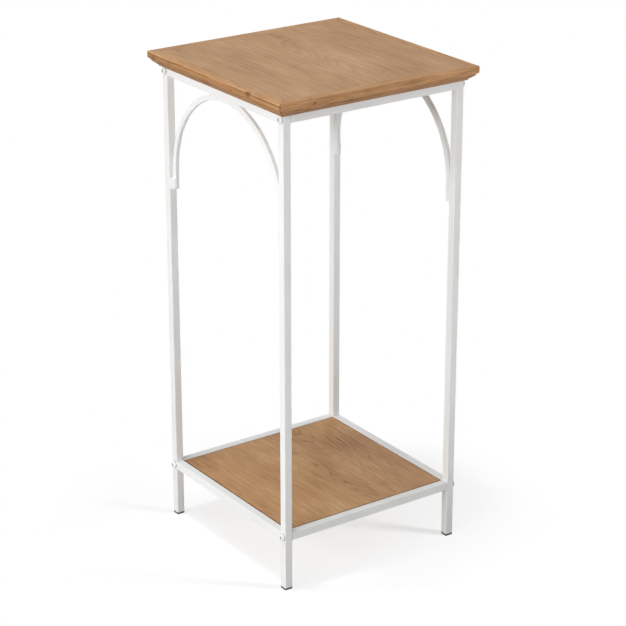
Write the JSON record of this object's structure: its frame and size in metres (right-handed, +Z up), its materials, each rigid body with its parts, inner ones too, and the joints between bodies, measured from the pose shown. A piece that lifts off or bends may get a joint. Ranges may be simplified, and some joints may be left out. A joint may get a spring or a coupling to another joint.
{
  "type": "tea table",
  "caption": "Square tea table with a moulded wooden top, a lower wooden shelf and a slim white square-tube frame with a bent-bar arch under the top at each side",
  "frame": {"origin": "on the floor, under the middle of the table", "axes": "+Z up; -Y the front, an open side with a bolted cross rail; the arches are in the -X and +X side frames"},
  "size_m": [0.3048, 0.3048, 0.6604],
  "materials": {
    "top_wood": "matt",
    "edge_wood": "matt",
    "shelf_wood": "matt",
    "white_coat": "satin",
    "white_fastener": "satin",
    "foot_plastic": "matt",
    "bare_steel": "satin"
  },
  "bodies": {
    "root": {"top_panel": "top_wood", "top_edge_front": "edge_wood", "top_edge_back": "edge_wood", "top_edge_left": "edge_wood", "top_edge_right": "edge_wood", "shelf_panel": "shelf_wood", "leg_front_left": "white_coat", "leg_back_left": "white_coat", "leg_front_right": "white_coat", "leg_back_right": "white_coat", "side_rail_top_left": "white_coat", "side_rail_shelf_left": "white_coat", "side_rail_top_right": "white_coat", "side_rail_shelf_right": "white_coat", "cross_rail_top_front": "white_coat", "cross_rail_shelf_front": "white_coat", "cross_rail_top_back": "white_coat", "cross_rail_shelf_back": "white_coat", "arch_left": "white_coat", "arch_right": "white_coat", "arch_clip_front_left": "white_coat", "arch_clip_back_left": "white_coat", "arch_clip_front_right": "white_coat", "arch_clip_back_right": "white_coat", "shelf_tab_front_left": "white_coat", "shelf_tab_back_left": "white_coat", "shelf_tab_front_right": "white_coat", "shelf_tab_back_right": "white_coat", "frame_bolts_left": "white_fastener", "frame_bolts_right": "white_fastener", "foot_front_left": "foot_plastic", "foot_back_left": "foot_plastic", "foot_front_right": "foot_plastic", "foot_back_right": "foot_plastic", "rail_inserts_top": "bare_steel", "rail_inserts_shelf": "bare_steel", "shelf_screws": "bare_steel", "top_screws": "bare_steel"}
  },
  "joints": []
}
